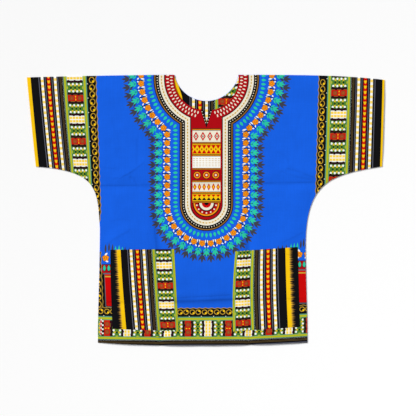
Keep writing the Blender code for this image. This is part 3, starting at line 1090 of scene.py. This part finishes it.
def front_print():
    pen = Pen()
    neck_print(pen)
    for side in SIDES:
        side_print(pen, side)
    for ink, *tips in POCKET_LEAVES:
        for x, top in tips:
            pen.leaf(ink, (x, top - 26.0), (x + 1.0, top), 5.6)
    panel_border(pen)
    pen.bar("red", -294.6, -289.8, -347.0, -303.0)
    for k in range(4):
        pen.spot("white", -287.0, -343.0 + DOT_PITCH * k, 2.6, sides=8)
        pen.spot("white", -291.6, -339.4 + DOT_PITCH * k, 1.6, 2.8, sides=8)
    return pen.shapes


def pocket_print(pocket):
    strip = Strip(pocket.first_block, 15.1, 39.3, 0.0)
    return border(Pen(pocket_place(pocket)), -8.0, 258.0, strip, frayed=True)


# Cloth as meshes


def anticlockwise(points):
    points = [tuple(map(float, p)) for p in points]
    area = sum(a[0] * b[1] - b[0] * a[1] for a, b in zip(points, points[1:] + points[:1]))
    return points if area > 0 else points[::-1]


def inside_grid(outline, spacing):
    """Points of a square grid inside a box round an outline."""
    low, high = np.min(outline, axis=0), np.max(outline, axis=0)
    xs = np.arange(low[0] + spacing * 0.37, high[0], spacing)
    ys = np.arange(low[1] + spacing * 0.37, high[1], spacing)
    return [(x, y) for x in xs for y in ys]


def rows_beside(line, distances, step):
    """Points in rows on both sides of a line, close enough together to carry its relief."""
    line = resample(line, step)
    return [tuple(p) for d in distances for p in shifted(line, d)]


def triangulate(outline, shapes, ground, free):
    """Triangles that fill an outline, each in the ink of the last shape that covers it."""
    corners = [Vector(p) for p in anticlockwise(outline)]
    faces = [list(range(len(corners)))]
    inks = [ground]
    for ink, points in shapes:
        start = len(corners)
        corners += [Vector(p) for p in anticlockwise(points)]
        faces.append(list(range(start, len(corners))))
        inks.append(ink)
    corners += [Vector(p) for p in free]
    found = delaunay_2d_cdt(corners, [], faces, 1, 1e-3, True)
    flat, triangles, origins, covers = found[0], found[2], found[3], found[5]
    kept = [(tri, inks[max(cover)]) for tri, cover in zip(triangles, covers) if 0 in cover]
    used = sorted({i for tri, _ in kept for i in tri})
    new = {old: k for k, old in enumerate(used)}
    flat = np.array([tuple(flat[i]) for i in used])
    from_input = {i: new[old] for old in used for i in origins[old]}
    return flat, [tuple(new[i] for i in tri) for tri, _ in kept], [ink for _, ink in kept], from_input


def slopes(height, flat):
    """Heights and upward normals of a surface over flat points."""
    x, y = flat[:, 0].copy(), flat[:, 1].copy()
    step = 0.35
    dx = (height(x + step, y) - height(x - step, y)) / (2 * step)
    dy = (height(x, y + step) - height(x, y - step)) / (2 * step)
    normals = np.column_stack([-dx, -dy, np.ones_like(dx)])
    return height(x, y), normals / np.linalg.norm(normals, axis=1)[:, None]


def boundary_loop(triangles):
    """The outer edge's vertices in order, anticlockwise."""
    edges = {(t[k], t[(k + 1) % 3]) for t in triangles for k in range(3)}
    after = {a: b for a, b in edges if (b, a) not in edges}
    start = min(after)
    loop = [start]
    while after[loop[-1]] != start:
        loop.append(after[loop[-1]])
    if len(loop) != len(after):
        raise ValueError("a cloth's edge is not one loop")
    return loop


Face = namedtuple("Face", "corners ink normals maps")


def cloth(name, outline, shapes, ground, reverse, free, outer, inner, under_free=(), face_down=False):
    """A closed thin shell of cloth with its print in the printed side's own faces."""
    flat, triangles, inks, _ = triangulate(outline, shapes, ground, free)
    loop = boundary_loop(triangles)
    rim = flat[loop]
    under_free = inside_grid(rim, 16.0) + list(under_free)
    under_flat, under_triangles, _, from_rim = triangulate(rim, [], reverse, under_free)
    z, normals = slopes(outer, flat)
    under_z, under_normals = slopes(inner, under_flat)
    count = len(flat)
    points = np.vstack([np.column_stack([flat, z]), np.column_stack([under_flat, under_z])])
    low, high = np.min(rim, axis=0) - 4, np.max(rim, axis=0) + 4
    width, height = high - low
    scale, under_scale = (min(0.98 / width, share / height) for share in (0.72, 0.22))
    map_out = (flat - low) * scale + 0.01
    map_under = (under_flat - low) * under_scale + (0.01, 0.76)
    turn = -1.0 if face_down else 1.0
    faces = []
    ink_of_edge = {}
    for t, ink in zip(triangles, inks):
        faces.append(Face(t, ink, [turn * normals[i] for i in t], [map_out[i] for i in t]))
        for k in range(3):
            ink_of_edge[t[k], t[(k + 1) % 3]] = ink
    for t in under_triangles:
        t = t[::-1]
        corners = tuple(i + count for i in t)
        faces.append(Face(corners, reverse, [-turn * under_normals[i] for i in t], [map_under[i] for i in t]))
    for k, a in enumerate(loop):
        after = (k + 1) % len(loop)
        b = loop[after]
        along = flat[b] - flat[a]
        away = np.array([along[1], -along[0], 0.0]) / max(np.hypot(*along), 1e-9)
        margin = away[:2] * 2.0 * scale
        corners = (count + from_rim[k], count + from_rim[after], b, a)
        maps = [map_out[a] + margin, map_out[b] + margin, map_out[b], map_out[a]]
        faces.append(Face(corners, ink_of_edge[a, b], [away] * 4, maps))
    if face_down:
        faces = [Face(f.corners[::-1], f.ink, f.normals[::-1], f.maps[::-1]) for f in faces]
    inks = sorted({f.ink for f in faces})
    mesh = bpy.data.meshes.new(name)
    mesh.from_pydata((points * MM).tolist(), [], [f.corners for f in faces])
    for ink in inks:
        mesh.materials.append(cotton(ink))
    mesh.polygons.foreach_set("material_index", [inks.index(f.ink) for f in faces])
    mesh.polygons.foreach_set("use_smooth", [True] * len(faces))
    # Painted shade along the creases and in shaded places, which the materials read to darken the colour
    painted_shade_layer = mesh.attributes.new("painted_shade", "FLOAT", "POINT")
    painted_shade_layer.data.foreach_set("value", painted_shade(points[:, 0].copy(), points[:, 1].copy()))
    uv = mesh.uv_layers.new(name="OFBake")
    uv.data.foreach_set("uv", np.array([m for f in faces for m in f.maps], np.float32).ravel())
    mesh.update()
    mesh.normals_split_custom_set([tuple(n) for f in faces for n in f.normals])
    return placed(name, mesh)


def linked(name, data, location=(0.0, 0.0, 0.0)):
    thing = bpy.data.objects.new(name, data)
    thing.location = location
    bpy.context.scene.collection.objects.link(thing)
    return thing


def placed(name, mesh):
    piece = linked(name, mesh)
    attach(piece, ALL_BODIES)
    return piece


# Corners of one stitch, along it, across it and up: its ends, its sides, its back and its foot
THREAD = (
    (-STITCH_LENGTH / 2, 0.0, -0.12),
    (STITCH_LENGTH / 2, 0.0, -0.12),
    (0.0, 0.32, 0.02),
    (0.0, -0.32, 0.02),
    (-STITCH_LENGTH / 4, 0.0, 0.20),
    (STITCH_LENGTH / 4, 0.0, 0.20),
    (0.0, 0.0, -0.25),
)


def stitches(name, lines, height, ink):
    """Short raised threads along lines, each sunk a little at its ends."""
    vertices, faces = [], []
    for line in lines:
        marks = resample(line, STITCH_PITCH)
        if len(marks) < 2:
            continue
        heading = np.gradient(marks, axis=0)
        heading /= np.hypot(*heading.T)[:, None]
        z = height(marks[:, 0].copy(), marks[:, 1].copy())
        for (x, y), (hx, hy), top in zip(marks, heading, z):
            a, b, left, right, back, fore, low = range(len(vertices), len(vertices) + len(THREAD))
            for along, across, up in THREAD:
                vertices.append((x + hx * along - hy * across, y + hy * along + hx * across, top + up))
            faces += [(a, back, left), (left, back, fore), (left, fore, b)]
            faces += [(a, right, back), (right, fore, back), (right, b, fore)]
            faces += [(a, left, low), (left, b, low), (b, right, low), (right, a, low)]
    mesh = bpy.data.meshes.new(name)
    mesh.from_pydata([tuple(c * MM for c in v) for v in vertices], [], faces)
    mesh.materials.append(cotton(ink))
    mesh.shade_smooth()
    return placed(name, mesh)


# Materials

_cottons = {}


def linear(channel):
    c = channel / 255
    return c / 12.92 if c <= 0.04045 else ((c + 0.055) / 1.055) ** 2.4


def cotton(ink):
    """Printed plain-weave cotton in one ink: uneven dye, painted shade from the mesh's shade layer, fine
    yarns both ways and a soft sheen.
    """
    if ink in _cottons:
        return _cottons[ink]
    material = bpy.data.materials.new(f"cotton_{ink}")
    material.use_nodes = True
    nodes, links = material.node_tree.nodes, material.node_tree.links
    place = nodes.new("ShaderNodeTexCoord").outputs["Object"]

    def feed(node, inputs):
        """Link a node's inputs to other nodes, or set their values."""
        for key, value in inputs.items():
            if isinstance(value, bpy.types.NodeSocket):
                links.new(value, node.inputs[key])
            else:
                node.inputs[key].default_value = value
        return node

    def noise(scale, stretch, detail, rough):
        mapping = feed(nodes.new("ShaderNodeMapping"), {"Vector": place, "Scale": stretch})
        inputs = {"Vector": mapping.outputs["Vector"], "Scale": scale, "Detail": detail, "Roughness": rough}
        return feed(nodes.new("ShaderNodeTexNoise"), inputs).outputs["Fac"]

    def yarns(direction):
        inputs = {"Vector": place, "Scale": 250.0, "Distortion": 0.6, "Detail": 1.0}
        wave = feed(nodes.new("ShaderNodeTexWave"), inputs)
        wave.bands_direction = direction
        return wave.outputs["Fac"]

    def maths(operation, a, b):
        node = feed(nodes.new("ShaderNodeMath"), {0: a, 1: b})
        node.operation = operation
        return node.outputs["Value"]

    def ranged(value, low, high):
        inputs = {"Value": value, "From Min": 0.3, "From Max": 0.7, "To Min": low, "To Max": high}
        return feed(nodes.new("ShaderNodeMapRange"), inputs).outputs["Result"]

    dye = ranged(noise(14.0, (1.0, 1.0, 0.2), 4.0, 0.6), 0.97, 1.03)
    warp = ranged(noise(520.0, (1.0, 0.05, 0.2), 2.0, 0.5), 0.97, 1.03)
    weft = ranged(noise(520.0, (0.05, 1.0, 0.2), 2.0, 0.5), 0.98, 1.02)
    # Painted shade: the colour is darkened where the mesh's shade layer says so
    painted_shade_layer = nodes.new("ShaderNodeAttribute")
    painted_shade_layer.attribute_name = "painted_shade"
    painted_shade_factor = maths("SUBTRACT", 1.0, maths("MULTIPLY", painted_shade_layer.outputs["Fac"], PAINTED_SHADE_STRENGTH))
    tone = maths("MULTIPLY", maths("MULTIPLY", maths("MULTIPLY", dye, warp), weft), painted_shade_factor)
    colour = (*(linear(c) for c in INKS[ink]), 1.0)
    shade = feed(nodes.new("ShaderNodeHueSaturation"), {"Color": colour, "Value": tone})
    slub = noise(900.0, (1.0, 1.0, 0.2), 2.0, 0.6)
    height = maths("ADD", maths("MAXIMUM", yarns("X"), yarns("Y")), slub)
    bump = feed(nodes.new("ShaderNodeBump"), {"Strength": 0.35, "Distance": 0.00012, "Height": height})
    looks = {
        "Base Color": shade.outputs["Color"],
        "Normal": bump.outputs["Normal"],
        "Roughness": ranged(slub, 0.78, 0.94),
        "Specular IOR Level": 0.06,
        "Sheen Weight": 0.03,
        "Sheen Roughness": 0.5,
    }
    feed(nodes["Principled BSDF"], looks)
    _cottons[ink] = material
    return material


# The pieces


def edge_rows(outline, step=4.0):
    return rows_beside(closed(outline), EDGE_ROWS, step)


def make_front():
    free = inside_grid(FRONT_OUTLINE, 7.5)
    under_free = []
    for crease in CREASES:
        free += rows_beside(crease.points, (-7, -4, -2.2, -1, 0, 1, 2.2, 4, 7), 6.0)
        under_free += rows_beside(crease.points, (-7, -3.2, -1.4, 0, 1.4, 3.2, 7), 8.0)
    for line in FRONT_STITCHES:
        free += rows_beside(line, (-4, -2.2, -1.1, 0, 1.1, 2.2, 4), 4.0)
    free += edge_rows(FRONT_OUTLINE)
    looks = (front_print(), "blue", "reverse")
    piece = cloth("front_cloth", FRONT_OUTLINE, *looks, free, front_outer, front_inner, under_free)
    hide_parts("front")
    hems = stitches("hem_stitching", HEM_STITCHES, front_outer, "dark_thread")
    neck = NECK_TOPSTITCH[NECK_TOPSTITCH[:, 1] < TOP_Y - 2]
    topstitch = stitches("neck_stitching", [neck], front_outer, "red_thread")


def make_back():
    free = inside_grid(BACK_OUTLINE, 14.0) + edge_rows(BACK_OUTLINE, 5.0)
    looks = (panel_border(Pen()), "blue", "reverse")
    piece = cloth("back_cloth", BACK_OUTLINE, *looks, free, back_outer, back_inner, face_down=True)
    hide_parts("back")


def make_facing():
    outer_edge = resample(neck_arc(FACING_HALF, FACING_DEPTH), 4.0)
    inner_edge = resample(neck_arc(NECK_HALF, BACK_NECK_DEPTH, 0.6), 3.0)
    outline = np.vstack([outer_edge, inner_edge[::-1]])

    def upper(x, y):
        return FACING_Z + CLOTH - edge_roll(x, y, outline, 0.4) + 0.06 * rippled(x * 2.2, y * 2.2)

    def under(x, y):
        return np.full(x.shape, FACING_Z - 0.1)

    free = inside_grid(outline, 6.0) + edge_rows(outline)
    looks = (border(Pen(facing_place), 0.0, 150.0, FACING), "black", "reverse_dark")
    piece = cloth("neck_facing_cloth", outline, *looks, free, upper, under)
    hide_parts("neck_facing")
    line = resample(neck_arc(NECK_HALF, BACK_NECK_DEPTH, 4.5), 4.0)[3:-3]
    sewing = stitches("neck_facing_stitching", [line], upper, "dark_thread")


def make_pocket(pocket):
    corners = pocket_corners(pocket)
    bottom, right, top, left = (resample(pair, 4.0) for pair in zip(corners, corners[1:] + corners[:1]))
    left = np.array([pocket_point(pocket, 0.0, share) for share in np.linspace(0.0, 1.0, len(left))])
    outline = np.vstack([edge[:-1] for edge in (bottom, right, top, left)])
    sides = np.vstack([left[:-1], bottom[:-1], right])
    centre = np.mean(corners, axis=0)

    def inset(line):
        inward = centre - line
        return line + inward / np.abs(inward).max(axis=1)[:, None] * POCKET_STITCH

    stitch_line = np.vstack([inset(left), inset(bottom)[1:], inset(right)[1:]])
    fold = POCKET_TOP_FOLD / POCKET_HEIGHT
    fold_left = blend(pocket.top_left, pocket.bottom_left, fold)
    fold_right = blend(pocket.top_right, pocket.bottom_right, fold)
    mouth = resample((fold_left, fold_right), 4.0)[1:-1]

    def lift(x, y):
        """Clear of the front all over, and more so towards the open mouth."""
        off_seams = smooth_step(near(x, y, sides, POCKET_EASE) / POCKET_EASE)
        gape = smooth_step(1 - near(x, y, top, POCKET_GAPE_REACH) / POCKET_GAPE_REACH)
        return POCKET_CLEARANCE + (POCKET_LOFT + POCKET_GAPE * gape) * off_seams

    def under(x, y):
        """Half as sharp as the front that it lies on."""
        around = [front_upper(x + dx, y + dy) for dx in (-6.0, 0.0, 6.0) for dy in (-6.0, 0.0, 6.0)]
        return sum(around) / 9 * 0.5 + front_upper(x, y) * 0.5 + lift(x, y)

    def upper(x, y):
        z = under(x, y) + POCKET_CLOTH - edge_roll(x, y, outline, 0.6)
        for line in (stitch_line, mouth):
            z -= stitch_dent(x, y, line, POCKET_STITCH_DENT)
        return z + 0.22 * (1 - smooth_step((near(x, y, top, 30.0) - POCKET_TOP_FOLD) / FOLD_STEP))

    free = inside_grid(outline, 6.0) + edge_rows(outline)
    for line in (stitch_line, mouth):
        free += rows_beside(line, (-2.2, -1.1, 0, 1.1, 2.2), 4.0)
    for crease in CREASES[:4]:
        free += rows_beside(crease.points, (-4, -2, 0, 2, 4), 5.0)
    low, high = np.min(outline, axis=0), np.max(outline, axis=0)
    free = [p for p in free if low[0] < p[0] < high[0] and low[1] < p[1] < high[1]]
    looks = (pocket_print(pocket), "black", "reverse_dark")
    piece = cloth(f"{pocket.name}_cloth", outline, *looks, free, upper, under)
    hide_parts(pocket.name)
    sewing = stitches(f"{pocket.name}_stitching", [stitch_line, mouth], upper, "dark_thread")


def make_floor():
    material = bpy.data.materials.new("pale_floor")
    material.use_nodes = True
    shader = material.node_tree.nodes["Principled BSDF"]
    shader.inputs["Base Color"].default_value = (0.98, 0.98, 0.98, 1.0)
    shader.inputs["Roughness"].default_value = 0.9
    mesh = bpy.data.meshes.new("floor")
    mesh.from_pydata([(-20, -20, 0), (20, -20, 0), (20, 20, 0), (-20, 20, 0)], [], [(0, 1, 2, 3)])
    mesh.materials.append(material)
    linked("floor", mesh, (0.0, 0.0, -0.0002))


def light_from(name, kind, location):
    data = bpy.data.lights.new(name, kind)
    linked(name, data, location).rotation_euler = (-Vector(location)).to_track_quat("-Z", "Y").to_euler()
    return data


def make_light():
    world = bpy.data.worlds.new("studio")
    world.use_nodes = True
    world.node_tree.nodes["Background"].inputs["Color"].default_value = (1.0, 1.0, 1.0, 1.0)
    world.node_tree.nodes["Background"].inputs["Strength"].default_value = 0.26
    bpy.context.scene.world = world
    key = light_from("key", "SUN", (-3.4, 2.75, 2.7))
    key.energy = 3.65
    key.angle = 0.30
    fill = light_from("fill", "AREA", (1.6, -1.8, 3.6))
    fill.shape = "SQUARE"
    fill.size = 2.4
    fill.energy = 31.0
    bpy.context.scene.view_settings.view_transform = "Standard"


def make_camera():
    """Straight above, so that the photo's width spans PHOTO_SPAN on the floor."""
    data = bpy.data.cameras.new("camera")
    data.lens = LENS
    data.sensor_width = SENSOR
    height = PHOTO_SPAN * LENS / SENSOR
    bpy.context.scene.camera = linked("camera", data, (CENTRE * MM, CENTRE * MM, height * MM))


make_camera()
make_floor()
make_light()
make_back()
make_facing()
make_front()
for pocket in POCKETS:
    make_pocket(pocket)
